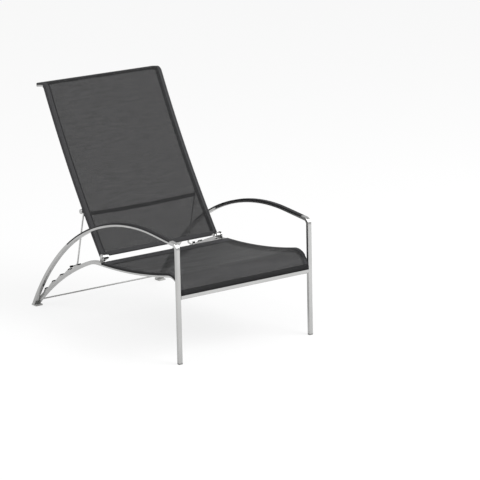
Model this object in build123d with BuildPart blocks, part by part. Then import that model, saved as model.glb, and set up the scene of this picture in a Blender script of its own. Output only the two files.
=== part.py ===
from build123d import *
import os
from math import acos, asin, cos, degrees, radians, sin, sqrt, tan

# Reclining garden armchair, in millimetres. +Z is up and the chair faces -Y.
# The origin is on the floor under the middle of the chair, whose two sides
# mirror each other about the plane X = 0.

os.makedirs("parts", exist_ok=True)

# Overall size
chair_width = 670.0
chair_depth = 1048.0
arm_height = 500.0
overrun = 30.0          # how far a cut or an untrimmed end runs past its work
seat_gap = 0.3          # clearance between pieces that only lie together

# Side frame: arch, arm and front leg from one rectangular tube
frame_tube_width = 18.0
frame_tube_depth = 15.0
tube_wall = 1.5
tube_corner = 1.8
crest_setback = 251.0
arch_radius_share = 0.9828   # of the single arc from the crest to the rear foot
arch_blend_angle = 42.0
arm_fall_angle = 5.3
arm_bend_radius = 28.0
leg_rake = 1.9

# Arm inlay, let into the top of the arm
inlay_depth = 6.5
inlay_start_angle = 37.2
inlay_end_setback = 60.0

# Seat rail: ramp from the rear foot, crest, seat and front bend
rail_width = 17.0
rail_depth = 15.0
rail_foot_inset = 1.8
low_reach = 468.0
low_height = 280.0
low_angle = 0.5
crest_radius = 175.0
ramp_angle = 22.0
seat_radius = 2250.0
front_bend_radius = 66.3

# Rack: toothed strip let into the top of the ramp
rack_recess = 5.5
tooth_height = 9.0
valley_floor = 2.0
notch_count = 5
top_notch_share = 0.1508   # of the ramp's turn, from its top to the foot
notch_pitch_share = 0.1465
tooth_face_length = 13.8
rack_end_margin = 18.0
liner_length = 10.0
liner_height = 5.0

# Crossbars, tie rod and glides
front_bar_height = 18.0
front_bar_depth = 15.0
front_bar_drop = 4.3
rear_bar_diameter = 15.0
rear_bar_setback = 22.0    # forward of the hinge
tie_rod_diameter = 6.0
tie_rod_inset = 29.0
glide_height = 5.0
glide_plug_height = 18.0
rear_glide_length = 34.0

# Cloth and the strips that hold it on the seat rails
cloth_thickness = 1.2
edge_strip_height = 7.0
edge_strip_thickness = 2.0
edge_strip_end_setback = 36.0
hem_inset = 10.0

# Backrest hinge
hinge_reach = 474.0
hinge_rise = 23.0
hinge_pin_diameter = 8.0
hinge_pin_head = 14.0
hinge_head_thickness = 3.5
hinge_nut_thickness = 5.0
hinge_nut_size = 13.0
hinge_washer_thickness = 2.7
bush_wall = 1.5
running_clearance = 0.05
knuckle_radius = 11.0
lug_radius = 13.0
lug_thickness = 5.0
lug_drop = 26.0

# Backrest: two bowed rails with a rolled top end
back_rail_width = 18.0
back_rail_depth = 15.0
back_front_offset = 6.5
back_foot_length = 10.0
back_bow_radius = 4775.0
back_lean = 36.3
back_height_along = 748.0
roll_radius = 30.0
roll_turn = 72.3
roll_tail = 40.0
plug_thickness = 2.0
plug_insert = 12.0
bare_tail = 6.0
cloth_start = 9.5
top_bar_diameter = 12.0
lower_bar_diameter = 10.0
lower_bar_rise = 17.0

# Support bail and its pivot on the back rails
bail_pivot_along = 217.0
bail_pivot_offset = 25.7
bail_pin_diameter = 7.0
bail_pin_head = 20.0
bail_head_thickness = 5.0
ear_thickness = 5.0
ear_radius = 8.0
ear_foot_length = 26.0
ear_inset = 1.0
eye_diameter = 14.0
eye_width = 8.0
strut_diameter = 7.0
strut_length = 247.0
strut_lean = 12.6
foot_bend_radius = 12.0
bail_bar_diameter = 16.0
bail_bar_drop = 15.5
bail_bar_bow = 19.0
foot_cap_wall = 1.0
foot_cap_length = 12.0

# Derived lines that several pieces share
front_y = -chair_depth / 2
rear_y = chair_depth / 2
side_inner = chair_width / 2 - frame_tube_width
rail_inner = side_inner - rail_width
lug_inner = rail_inner - lug_thickness
rail_play = cloth_thickness + seat_gap
back_rail_outer = lug_inner - hinge_washer_thickness - seat_gap
back_rail_inner = back_rail_outer - back_rail_width
back_edge = back_rail_outer + rail_play
rake_slope = tan(radians(leg_rake))
rake_cos = cos(radians(leg_rake))


def mirrored(part):
    """The same piece on the other side of the chair."""
    return mirror(part, about=Plane.YZ)


def save(part, name):
    """Name a finished piece and write its file."""
    part.label = name
    export_step(part, f"parts/{name}.step")


def save_pair(part, name):
    """Write the piece of the +X side and its mirror image."""
    save(mirrored(part), f"{name}_right")
    save(part, f"{name}_left")


def polar(centre, radius, slope):
    """Point of an arch-like arc where it slopes by this angle, rising forwards."""
    return (
        centre[0] + radius * sin(radians(slope)),
        centre[1] + radius * cos(radians(slope)),
    )


def slope_at_height(centre, radius, height):
    """Slope of such an arc where it meets a height on its rear side."""
    return degrees(acos((height - centre[1]) / radius))


def tangent_radius(start, slope, end):
    """Radius of the arc that leaves a point at a slope and ends at another point."""
    normal = (sin(radians(slope)), cos(radians(slope)))
    gap = (start[0] - end[0], start[1] - end[1])
    return (gap[0] ** 2 + gap[1] ** 2) / (2 * (gap[0] * normal[0] + gap[1] * normal[1]))


def strip(line, top, bottom, *ends):
    """Side-view face between two depths of a family of lines."""
    upper, lower = line(top, *ends), line(bottom, *ends)
    sides = [Edge.make_line(upper.position_at(i), lower.position_at(i)) for i in (0, 1)]
    make_face(upper.edges() + lower.edges() + sides)


def bar(line, inner, width, top, bottom, *ends):
    """Solid bar between two depths of a line, with blunted long corners."""
    with BuildPart() as made:
        with BuildSketch(Plane.YZ.offset(inner)):
            strip(line, top, bottom, *ends)
        extrude(amount=width)
        across = made.edges().group_by(Axis.X)
        chamfer(across[0] + across[-1], length=tube_corner)
    return made.part


def slab(line, inner, width, top, bottom, *ends):
    """Plain solid between two depths of a line."""
    with BuildPart() as made:
        with BuildSketch(Plane.YZ.offset(inner)):
            strip(line, top, bottom, *ends)
        extrude(amount=width)
    return made.part


def disc(place, start, thickness, radius, bore=0):
    """Round piece square to the side view, from one distance off the middle outwards."""
    with BuildPart() as made:
        with BuildSketch(Plane.YZ.offset(start)):
            with Locations(place):
                Circle(radius)
                if bore:
                    Circle(bore, mode=Mode.SUBTRACT)
        extrude(amount=thickness)
    return made.part


# Side view of the side frame, at a depth below the tube's outer face
crest_run = rear_y - (front_y + crest_setback)
arch_radius = arch_radius_share * (crest_run**2 + arm_height**2) / (2 * arm_height)
arch_centre = (front_y + crest_setback, arm_height - arch_radius)
arch_joint = polar(arch_centre, arch_radius, arch_blend_angle)
haunch_radius = tangent_radius(arch_joint, arch_blend_angle, (rear_y, 0))
haunch_centre = (
    arch_joint[0] - haunch_radius * sin(radians(arch_blend_angle)),
    arch_joint[1] - haunch_radius * cos(radians(arch_blend_angle)),
)
fall_cos = cos(radians(arm_fall_angle))
fall_sin = sin(radians(arm_fall_angle))
frame_half = frame_tube_depth / 2


def frame_line(depth):
    """Rear foot, haunch, arch, arm, bend and front leg."""
    slope = slope_at_height(haunch_centre, haunch_radius - depth, -overrun)
    arm = polar(arch_centre, arch_radius - depth, -arm_fall_angle)
    leg_y = front_y + depth / rake_cos
    run = (arm[0] - leg_y - rake_slope * arm[1]) / (fall_cos - rake_slope * fall_sin)
    corner = (arm[0] - run * fall_cos, arm[1] - run * fall_sin)
    with BuildLine() as line:
        CenterArc(haunch_centre, haunch_radius - depth, 90 - slope, slope - arch_blend_angle)
        CenterArc(
            arch_centre,
            arch_radius - depth,
            90 - arch_blend_angle,
            arch_blend_angle + arm_fall_angle,
        )
        FilletPolyline(
            arm, corner, (leg_y - rake_slope * overrun, -overrun), radius=arm_bend_radius - depth
        )
    return line.wire()


inlay_run = polar(arch_centre, arch_radius, -arm_fall_angle)[0] - (front_y + inlay_end_setback)


def inlay_line(depth):
    """Stretch of the arch and the arm that carries the inlay."""
    arm = polar(arch_centre, arch_radius - depth, -arm_fall_angle)
    with BuildLine() as line:
        CenterArc(
            arch_centre,
            arch_radius - depth,
            90 - inlay_start_angle,
            inlay_start_angle + arm_fall_angle,
        )
        Line(arm, (arm[0] - inlay_run * fall_cos, arm[1] - inlay_run * fall_sin))
    return line.wire()


# Side view of the seat rail, at a depth below its top face
rail_half = rail_depth / 2
low_point = (rear_y - low_reach, low_height)
crest_centre = (
    low_point[0] - crest_radius * sin(radians(low_angle)),
    low_point[1] - crest_radius * cos(radians(low_angle)),
)
ramp_top = polar(crest_centre, crest_radius, ramp_angle)
ramp_radius = tangent_radius(ramp_top, ramp_angle, (rear_y - rail_foot_inset, 0))
ramp_centre = (
    ramp_top[0] - ramp_radius * sin(radians(ramp_angle)),
    ramp_top[1] - ramp_radius * cos(radians(ramp_angle)),
)
seat_centre = (
    low_point[0] + seat_radius * sin(radians(low_angle)),
    low_point[1] + seat_radius * cos(radians(low_angle)),
)
bend_reach = seat_radius + front_bend_radius
bend_inset = (front_bend_radius + rail_half + rail_play) / rake_cos
bend_offset = front_y + bend_inset - seat_centre[0]
bend_square = 1 + rake_slope**2
bend_linear = rake_slope * bend_offset - seat_centre[1]
bend_rest = bend_offset**2 + seat_centre[1] ** 2 - bend_reach**2
bend_height = (-bend_linear - sqrt(bend_linear**2 - bend_square * bend_rest)) / bend_square
bend_centre = (front_y + bend_inset + rake_slope * bend_height, bend_height)
seat_end_slope = degrees(asin((seat_centre[0] - bend_centre[0]) / bend_reach))
front_bar_level = bend_height - front_bar_drop
bar_top = (
    front_bar_level
    + front_bar_height / 2 * rake_cos
    + front_bar_depth / 2 * sin(radians(leg_rake))
)


def rail_line(depth):
    """Ramp from the rear foot, crest, seat, front bend and drop."""
    rise = rail_half - depth
    slope = slope_at_height(ramp_centre, ramp_radius + rise, -overrun)
    with BuildLine() as line:
        CenterArc(ramp_centre, ramp_radius + rise, 90 - slope, slope - ramp_angle)
        CenterArc(crest_centre, crest_radius + rise, 90 - ramp_angle, ramp_angle - low_angle)
        CenterArc(seat_centre, seat_radius - rise, -90 - low_angle, low_angle - seat_end_slope)
        turn = CenterArc(
            bend_centre,
            front_bend_radius + rise,
            90 - seat_end_slope,
            seat_end_slope + 90 - leg_rake,
        )
        Line(turn @ 1, turn @ 1 + (turn % 1) * overrun)
    return line.wire()


def seat_line(depth, rear):
    """Seat and front bend only, from a place measured from the front."""
    rise = rail_half - depth
    radius = seat_radius - rise
    start = degrees(asin((seat_centre[0] - rear) / radius))
    with BuildLine() as line:
        CenterArc(seat_centre, radius, -90 - start, start - seat_end_slope)
        turn = CenterArc(
            bend_centre,
            front_bend_radius + rise,
            90 - seat_end_slope,
            seat_end_slope + 90 - leg_rake,
        )
        Line(turn @ 1, turn @ 1 + (turn % 1) * overrun)
    return line.wire()


def rack_line(depth, low, high):
    """Stretch of the ramp that carries the rack, between two slopes."""
    with BuildLine() as line:
        CenterArc(ramp_centre, ramp_radius + rail_half - depth, 90 - low, low - high)
    return line.wire()


# Side frames with their arm inlays
frame_bar = bar(frame_line, side_inner, frame_tube_width, 0, frame_tube_depth)
frame_hollow = slab(
    frame_line,
    side_inner + tube_wall,
    frame_tube_width - 2 * tube_wall,
    tube_wall,
    frame_tube_depth - tube_wall,
)
inlay_cut = slab(
    inlay_line, side_inner - overrun, frame_tube_width + 2 * overrun, -tube_wall, inlay_depth
)
inlay_floor = slab(
    inlay_line,
    side_inner + tube_wall / 2,
    frame_tube_width - tube_wall,
    inlay_depth,
    inlay_depth + tube_wall,
)
with BuildPart() as side_frame:
    add(frame_bar)
    add(frame_hollow, mode=Mode.SUBTRACT)
    add(inlay_cut, mode=Mode.SUBTRACT)
    add(inlay_floor)
    split(bisect_by=Plane.XY.offset(glide_height), keep=Keep.TOP)
save_pair(side_frame.part, "side_frame")

with BuildPart() as arm_inlay:
    add(frame_bar)
    add(inlay_cut, mode=Mode.INTERSECT)
save_pair(arm_inlay.part, "arm_inlay")

# Seat rails
rack_end_slope = degrees(asin(rack_end_margin / ramp_radius))
ramp_turn = slope_at_height(ramp_centre, ramp_radius, 0) - ramp_angle
top_notch_angle = ramp_angle + top_notch_share * ramp_turn
notch_pitch_angle = notch_pitch_share * ramp_turn
bottom_notch_angle = top_notch_angle + (notch_count - 1) * notch_pitch_angle
rack_low = bottom_notch_angle + degrees(tooth_face_length / ramp_radius) + rack_end_slope
rack_high = top_notch_angle - rack_end_slope
rail_bar = bar(rail_line, rail_inner, rail_width, 0, rail_depth)
rail_hollow = slab(
    rail_line,
    rail_inner + tube_wall,
    rail_width - 2 * tube_wall,
    tube_wall,
    rail_depth - tube_wall,
)
rack_cut = slab(
    rack_line,
    rail_inner - overrun,
    rail_width + 2 * overrun,
    -tube_wall,
    rack_recess,
    rack_low,
    rack_high,
)
rack_floor = slab(
    rack_line,
    rail_inner + tube_wall / 2,
    rail_width - tube_wall,
    rack_recess,
    rack_recess + tube_wall,
    rack_low,
    rack_high,
)
with BuildPart() as seat_rail:
    add(rail_bar)
    add(rail_hollow, mode=Mode.SUBTRACT)
    add(rack_cut, mode=Mode.SUBTRACT)
    add(rack_floor)
    split(bisect_by=Plane.XY.offset(glide_height), keep=Keep.TOP)
    split(bisect_by=Plane.XZ.offset(-rear_y), keep=Keep.TOP)
    with BuildSketch(Plane.YZ.offset(rail_inner - overrun)) as below_bar_top:
        with Locations((front_y, bar_top)):
            Rectangle(
                2 * front_bend_radius, 2 * overrun + rail_depth, align=(Align.CENTER, Align.MAX)
            )
    extrude(amount=rail_width + 2 * overrun, mode=Mode.SUBTRACT)
save_pair(seat_rail.part, "seat_rail")

# Racks: saw teeth whose short faces stop the foot pegs
recess_radius = ramp_radius + rail_half - rack_recess
valley_radius = recess_radius + valley_floor
tip_radius = valley_radius + tooth_height
face_turn = degrees(tooth_face_length / tip_radius)
notch_angles = [top_notch_angle + i * notch_pitch_angle for i in range(notch_count)]


def tooth_tip(notch):
    """Slope angle of the ramp at the tip that closes a notch on its rear side."""
    return notch + face_turn


def liner_places():
    """Side-view places of the notch liners, one at each tooth's tip."""
    places = []
    for notch in notch_angles:
        tip = polar(ramp_centre, tip_radius, tooth_tip(notch))
        places.append(Location((tip[0], tip[1]), -tooth_tip(notch)))
    return places


with BuildPart() as rack:
    with BuildSketch(Plane.YZ.offset(rail_inner)):
        with BuildLine():
            outline = [polar(ramp_centre, ramp_radius + rail_half, rack_high)]
            for notch in notch_angles:
                outline.append(polar(ramp_centre, valley_radius, notch))
                outline.append(polar(ramp_centre, tip_radius, tooth_tip(notch)))
            outline.append(polar(ramp_centre, ramp_radius + rail_half, rack_low))
            Polyline(outline)
            Line(outline[-1], polar(ramp_centre, recess_radius, rack_low))
            CenterArc(ramp_centre, recess_radius, 90 - rack_low, rack_low - rack_high)
            Line(polar(ramp_centre, recess_radius, rack_high), outline[0])
        make_face()
        with Locations(liner_places()):
            Rectangle(liner_length, 2 * liner_height, mode=Mode.SUBTRACT)
    extrude(amount=rail_width)
save_pair(rack.part, "rack")

with BuildPart() as notch_liners:
    with BuildSketch(Plane.YZ.offset(rail_inner)):
        with Locations(liner_places()):
            Rectangle(liner_length, liner_height, align=(Align.CENTER, Align.MAX))
    extrude(amount=rail_width)
save_pair(notch_liners.part, "notch_liners")

# Bars across the frame
leg_back = (0, rake_cos, -sin(radians(leg_rake)))
leg_up = (0, sin(radians(leg_rake)), rake_cos)
front_bar_y = front_y + rake_slope * front_bar_level + front_bar_depth / 2 / rake_cos
rear_bar_y = rear_y - hinge_reach - rear_bar_setback
rear_bar_z = seat_centre[1] - sqrt(seat_radius**2 - (rear_bar_y - seat_centre[0]) ** 2)
rear_bar = (rear_bar_y, rear_bar_z)
tie_rod_y = rear_y - tie_rod_inset
tie_rod = (tie_rod_y, ramp_centre[1] + sqrt(ramp_radius**2 - (tie_rod_y - ramp_centre[0]) ** 2))

with BuildPart() as front_crossbar:
    with BuildSketch(
        Plane(origin=(-side_inner, front_bar_y, front_bar_level), x_dir=leg_back, z_dir=(1, 0, 0))
    ) as bar_section:
        Rectangle(front_bar_depth, front_bar_height)
        chamfer(bar_section.vertices(), length=tube_corner)
        Rectangle(
            front_bar_depth - 2 * tube_wall, front_bar_height - 2 * tube_wall, mode=Mode.SUBTRACT
        )
    extrude(amount=2 * side_inner)
save(front_crossbar.part, "front_crossbar")

save(
    disc(
        rear_bar, -rail_inner, 2 * rail_inner, rear_bar_diameter / 2, rear_bar_diameter / 2 - tube_wall
    ),
    "rear_seat_crossbar",
)
save(disc(tie_rod, -rail_inner, 2 * rail_inner, tie_rod_diameter / 2), "rear_tie_rod")

# Glides under the feet, each with a plug that stands in its tube
frame_middle = side_inner + frame_tube_width / 2
plug_play = 2 * (tube_wall + seat_gap)
leg_line_y = front_y + frame_half / rake_cos + rake_slope * glide_height
with BuildPart() as front_glide:
    with BuildSketch():
        with Locations((frame_middle, front_y)):
            Rectangle(
                frame_tube_width, frame_tube_depth / rake_cos, align=(Align.CENTER, Align.MIN)
            )
    extrude(amount=glide_height)
    chamfer(front_glide.edges().filter_by(Axis.Z), length=tube_corner)
    with BuildSketch(
        Plane(origin=(frame_middle, leg_line_y, glide_height), x_dir=(1, 0, 0), z_dir=leg_up)
    ):
        Rectangle(frame_tube_width - plug_play, frame_tube_depth - plug_play)
    extrude(amount=glide_plug_height)
save_pair(front_glide.part, "front_glide")

haunch_middle = haunch_radius - frame_half
heel_slope = slope_at_height(haunch_centre, haunch_middle, glide_height)
heel = polar(haunch_centre, haunch_middle, heel_slope)
heel_up = (0, -cos(radians(heel_slope)), sin(radians(heel_slope)))
with BuildPart() as rear_glide:
    with BuildSketch():
        with Locations((rail_inner, rear_y)):
            Rectangle(
                rail_width + frame_tube_width, rear_glide_length, align=(Align.MIN, Align.MAX)
            )
    extrude(amount=glide_height)
    chamfer(rear_glide.edges().filter_by(Axis.Z), length=tube_corner)
    with BuildSketch(Plane(origin=(frame_middle, *heel), x_dir=(1, 0, 0), z_dir=heel_up)):
        Rectangle(frame_tube_width - plug_play, frame_tube_depth - plug_play)
    extrude(amount=glide_plug_height)
save_pair(rear_glide.part, "rear_glide")

# Seat cloth with its rear hem round the crossbar, and its edge strips
cloth_half = side_inner - seat_gap
hem_half = rail_inner - hem_inset
hem_bore = rear_bar_diameter / 2 + seat_gap
seat_sheet = slab(seat_line, -cloth_half, 2 * cloth_half, -rail_play, -seat_gap, rear_bar_y)
hem_tube = disc(rear_bar, -hem_half, 2 * hem_half, hem_bore + cloth_thickness)
hem_space = disc(rear_bar, -hem_half, 2 * hem_half, hem_bore)
with BuildPart() as seat_cloth:
    add(seat_sheet)
    with BuildSketch(Plane.YZ.offset(-side_inner)):
        with Locations((front_y, bar_top + seat_gap)):
            Rectangle(
                2 * front_bend_radius, 2 * overrun + rail_depth, align=(Align.CENTER, Align.MAX)
            )
    extrude(amount=2 * side_inner, mode=Mode.SUBTRACT)
    add(hem_tube)
    add(hem_space, mode=Mode.SUBTRACT)
save(seat_cloth.part, "seat_cloth")

with BuildPart() as seat_edge_strip:
    add(
        slab(
            seat_line, side_inner, edge_strip_thickness, -rail_play, edge_strip_height, rear_bar_y
        )
    )
    split(bisect_by=Plane.XZ.offset(-front_y - edge_strip_end_setback), keep=Keep.BOTTOM)
save_pair(seat_edge_strip.part, "seat_edge_strip")

# Hinge lugs, pins, nuts and washers
hinge = (rear_y - hinge_reach, low_height + hinge_rise)
pin_radius = hinge_pin_diameter / 2
bush_outer = pin_radius + running_clearance + bush_wall
with BuildPart() as hinge_lug:
    with BuildSketch(Plane.YZ.offset(lug_inner)):
        with Locations(hinge):
            Circle(lug_radius)
            Rectangle(2 * lug_radius, lug_drop, align=(Align.CENTER, Align.MAX))
            Circle(pin_radius, mode=Mode.SUBTRACT)
    extrude(amount=lug_thickness)
save_pair(hinge_lug.part, "hinge_lug")


def headed_pin(place, start, face, radius, head_radius, head_thickness):
    """Pin from one distance off the middle to a face, with a blunted head on that face."""
    with BuildPart() as made:
        add(disc(place, start, face - start, radius))
        add(disc(place, face, head_thickness, head_radius))
        chamfer(made.edges().group_by(Axis.X)[-1], length=head_thickness / 4)
    return made.part


pin_inner_end = back_rail_inner - seat_gap - hinge_nut_thickness
save_pair(
    headed_pin(
        hinge, pin_inner_end, rail_inner, pin_radius, hinge_pin_head / 2, hinge_head_thickness
    ),
    "hinge_pin",
)

with BuildPart() as hinge_nut:
    with BuildSketch(Plane.YZ.offset(pin_inner_end)):
        with Locations(hinge):
            RegularPolygon(hinge_nut_size / 2, 6, major_radius=False)
            Circle(pin_radius, mode=Mode.SUBTRACT)
    extrude(amount=hinge_nut_thickness)
save_pair(hinge_nut.part, "hinge_nut")
save_pair(
    disc(hinge, lug_inner - hinge_washer_thickness, hinge_washer_thickness, knuckle_radius, pin_radius),
    "hinge_washer",
)

# Side view of the backrest, at a depth behind its front surface
lean_normal = (-cos(radians(back_lean)), sin(radians(back_lean)))
back_foot = (
    hinge[0] - back_front_offset * lean_normal[0],
    hinge[1] - back_front_offset * lean_normal[1],
)
bow_centre = (
    back_foot[0] + back_bow_radius * lean_normal[0],
    back_foot[1] + back_bow_radius * lean_normal[1],
)


def lean_at(along):
    """Lean of the back at a distance along its front surface above the hinge."""
    return back_lean - degrees(along / back_bow_radius)


def behind(along, depth):
    """Point at a distance along the back and a depth behind its front surface."""
    lean = radians(lean_at(along))
    radius = back_bow_radius + depth
    return (bow_centre[0] + radius * cos(lean), bow_centre[1] - radius * sin(lean))


def back_line(depth, start, trim):
    """Bow, rolled top and straight tail of the back."""
    low, high = lean_at(start), lean_at(back_height_along)
    with BuildLine() as line:
        bow = CenterArc(bow_centre, back_bow_radius + depth, -low, low - high)
        roll = JernArc(bow @ 1, bow % 1, roll_radius - depth, -roll_turn)
        Line(roll @ 1, roll @ 1 + (roll % 1) * (roll_tail - trim))
    return line.wire()


rail_rear = rail_play + back_rail_depth
back_middle_depth = rail_play + back_rail_depth / 2
back_rail_middle = back_rail_inner + back_rail_width / 2
rail_ends = (-back_foot_length, plug_thickness)
with BuildPart() as back_rail:
    add(bar(back_line, back_rail_inner, back_rail_width, rail_play, rail_rear, *rail_ends))
    add(
        slab(
            back_line,
            back_rail_inner + tube_wall,
            back_rail_width - 2 * tube_wall,
            rail_play + tube_wall,
            rail_rear - tube_wall,
            *rail_ends,
        ),
        mode=Mode.SUBTRACT,
    )
save_pair(back_rail.part, "back_rail")

tail = back_line(back_middle_depth, *rail_ends)
tail_end = tail.position_at(1)
tail_way = tail.tangent_at(1)
tail_plane = Plane(
    origin=(back_rail_middle, tail_end.X, tail_end.Y),
    x_dir=(1, 0, 0),
    z_dir=(0, tail_way.X, tail_way.Y),
)
with BuildPart() as rail_plug:
    with BuildSketch(tail_plane) as plug_face:
        Rectangle(back_rail_width, back_rail_depth)
        chamfer(plug_face.vertices(), length=tube_corner)
    extrude(amount=plug_thickness)
    with BuildSketch(tail_plane):
        Rectangle(back_rail_width - plug_play, back_rail_depth - plug_play)
    extrude(amount=-plug_insert)
save_pair(rail_plug.part, "back_rail_plug")

top_bar_run = bare_tail + top_bar_diameter
top_bar = (tail_end.X - tail_way.X * top_bar_run, tail_end.Y - tail_way.Y * top_bar_run)
lower_bar = behind(lower_bar_rise, back_middle_depth)
save(
    disc(top_bar, -back_rail_inner, 2 * back_rail_inner, top_bar_diameter / 2), "back_top_crossbar"
)
save(
    disc(lower_bar, -back_rail_inner, 2 * back_rail_inner, lower_bar_diameter / 2),
    "back_lower_crossbar",
)

# Hinge knuckles on the front faces of the back rails, and their bushes
face_depth = back_front_offset + rail_play
with BuildPart() as hinge_knuckle:
    with BuildSketch(
        Plane(
            origin=(back_rail_inner, *hinge),
            x_dir=(0, -lean_normal[0], -lean_normal[1]),
            z_dir=(1, 0, 0),
        )
    ):
        Circle(knuckle_radius)
        Rectangle(face_depth, 2 * (cloth_start - seat_gap), align=(Align.MIN, Align.CENTER))
        with Locations((face_depth, 0)):
            Rectangle(overrun, 2 * overrun, align=(Align.MIN, Align.CENTER), mode=Mode.SUBTRACT)
        Circle(bush_outer, mode=Mode.SUBTRACT)
    extrude(amount=back_rail_width)
save_pair(hinge_knuckle.part, "hinge_knuckle")
save_pair(
    disc(hinge, back_rail_inner, back_rail_width, bush_outer, pin_radius + running_clearance),
    "hinge_bush",
)

# Pivot of the support bail: an ear behind each back rail and a pin with a round head
pivot = behind(bail_pivot_along, bail_pivot_offset)
pivot_lean = radians(lean_at(bail_pivot_along))
ear_outer = back_rail_outer - ear_inset
ear_inner = ear_outer - ear_thickness
pivot_plane = Plane(
    origin=(0, *pivot), x_dir=(0, cos(pivot_lean), -sin(pivot_lean)), z_dir=(1, 0, 0)
)


def ear(inner, thickness, margin):
    """Ear from the rail's rear face round the pivot, widened by a margin."""
    reach = bail_pivot_offset - rail_rear
    foot = ear_foot_length / 2 + margin
    crown = ear_radius + margin
    with BuildPart() as made:
        with BuildSketch(pivot_plane.offset(inner)):
            with BuildLine():
                Polyline((-reach, foot), (0, crown), (0, -crown), (-reach, -foot), close=True)
            make_face()
            Circle(crown)
            with Locations((-reach, 0)):
                Rectangle(overrun, 2 * overrun, align=(Align.MAX, Align.CENTER), mode=Mode.SUBTRACT)
        extrude(amount=thickness)
    return made.part


bail_pin_radius = bail_pin_diameter / 2
with BuildPart() as pivot_ear:
    add(ear(ear_inner, ear_thickness, 0))
    add(disc(pivot, ear_inner, ear_thickness, bail_pin_radius), mode=Mode.SUBTRACT)
save_pair(pivot_ear.part, "pivot_ear")

eye_outer = ear_inner - seat_gap
eye_inner = eye_outer - eye_width
save_pair(
    headed_pin(
        pivot,
        eye_inner,
        back_edge + seat_gap,
        bail_pin_radius,
        bail_pin_head / 2,
        bail_head_thickness,
    ),
    "bail_pin",
)

# Back cloth: a sheet that is a sleeve round each rail
cloth_ends = (cloth_start, bare_tail)
sleeve = bar(
    back_line,
    back_rail_inner - rail_play,
    back_rail_width + 2 * rail_play,
    0,
    rail_rear + rail_play,
    *cloth_ends,
)
sleeve_space = slab(
    back_line,
    back_rail_inner - seat_gap,
    back_rail_width + 2 * seat_gap,
    cloth_thickness,
    rail_rear + seat_gap,
    *cloth_ends,
)
ear_window = ear(ear_inner - seat_gap, ear_thickness + 2 * seat_gap, seat_gap)
bar_reach = back_rail_inner + seat_gap
with BuildPart() as back_cloth:
    add(slab(back_line, -back_rail_middle, 2 * back_rail_middle, 0, cloth_thickness, *cloth_ends))
    for half in (sleeve, mirrored(sleeve)):
        add(half)
    for half in (sleeve_space, ear_window):
        add(half, mode=Mode.SUBTRACT)
        add(mirrored(half), mode=Mode.SUBTRACT)
    add(disc(top_bar, -bar_reach, 2 * bar_reach, top_bar_diameter / 2 + seat_gap), mode=Mode.SUBTRACT)
    add(
        disc(lower_bar, -bar_reach, 2 * bar_reach, lower_bar_diameter / 2 + seat_gap),
        mode=Mode.SUBTRACT,
    )
save(back_cloth.part, "back_cloth")

# Support bail
strut_middle = eye_inner + eye_width / 2
strut_way = (sin(radians(strut_lean)), -cos(radians(strut_lean)))
strut_radius = strut_diameter / 2
peg_end = side_inner - 2 * seat_gap


def down_strut(distance):
    """Point of the strut's axis at a distance from the pivot."""
    return (
        strut_middle,
        pivot[0] + distance * strut_way[0],
        pivot[1] + distance * strut_way[1],
    )


foot = down_strut(strut_length)
with BuildPart() as strut:
    with BuildLine() as strut_path:
        FilletPolyline(
            down_strut((eye_diameter + bail_pin_diameter) / 4),
            foot,
            (peg_end, foot[1], foot[2]),
            radius=foot_bend_radius,
        )
    with BuildSketch(Plane(origin=strut_path.line @ 0, x_dir=(1, 0, 0), z_dir=strut_path.line % 0)):
        Circle(strut_radius)
    sweep(path=strut_path.line)
    add(disc(pivot, eye_inner, eye_width, eye_diameter / 2))
    add(disc(pivot, eye_inner, eye_width, bail_pin_radius + running_clearance), mode=Mode.SUBTRACT)
save_pair(strut.part, "strut")

peg = (foot[1], foot[2])
cap_end = foot_cap_wall / 2
with BuildPart() as foot_cap:
    add(
        disc(peg, peg_end - foot_cap_length, foot_cap_length + cap_end, strut_radius + foot_cap_wall)
    )
    add(disc(peg, peg_end - foot_cap_length, foot_cap_length, strut_radius), mode=Mode.SUBTRACT)
save_pair(foot_cap.part, "foot_cap")

bar_end = down_strut(bail_bar_drop)
bail_reach = strut_middle
bail_bow_radius = (bail_reach**2 + bail_bar_bow**2) / (2 * bail_bar_bow)
bow_way = Vector(0, cos(pivot_lean), -sin(pivot_lean))
bail_centre = Vector(0, bar_end[1], bar_end[2]) - bow_way * (bail_bow_radius - bail_bar_bow)
bail_start = Vector(-bail_reach, bar_end[1], bar_end[2])
bail_axis = Axis(bail_centre, Vector(1, 0, 0).cross(bow_way))
bail_tangent = bail_axis.direction.cross(bail_start - bail_centre)
with BuildPart() as bail_crossbar:
    with BuildSketch(Plane(origin=bail_start, z_dir=bail_tangent)):
        Circle(bail_bar_diameter / 2)
    revolve(axis=bail_axis, revolution_arc=-2 * degrees(asin(bail_reach / bail_bow_radius)))
    split(bisect_by=Plane.YZ.offset(strut_middle - strut_radius), keep=Keep.BOTTOM)
    split(bisect_by=Plane.YZ.offset(strut_radius - strut_middle), keep=Keep.TOP)
save(bail_crossbar.part, "bail_crossbar")
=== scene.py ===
from math import asin, cos, pi, radians, sin, sqrt

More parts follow.
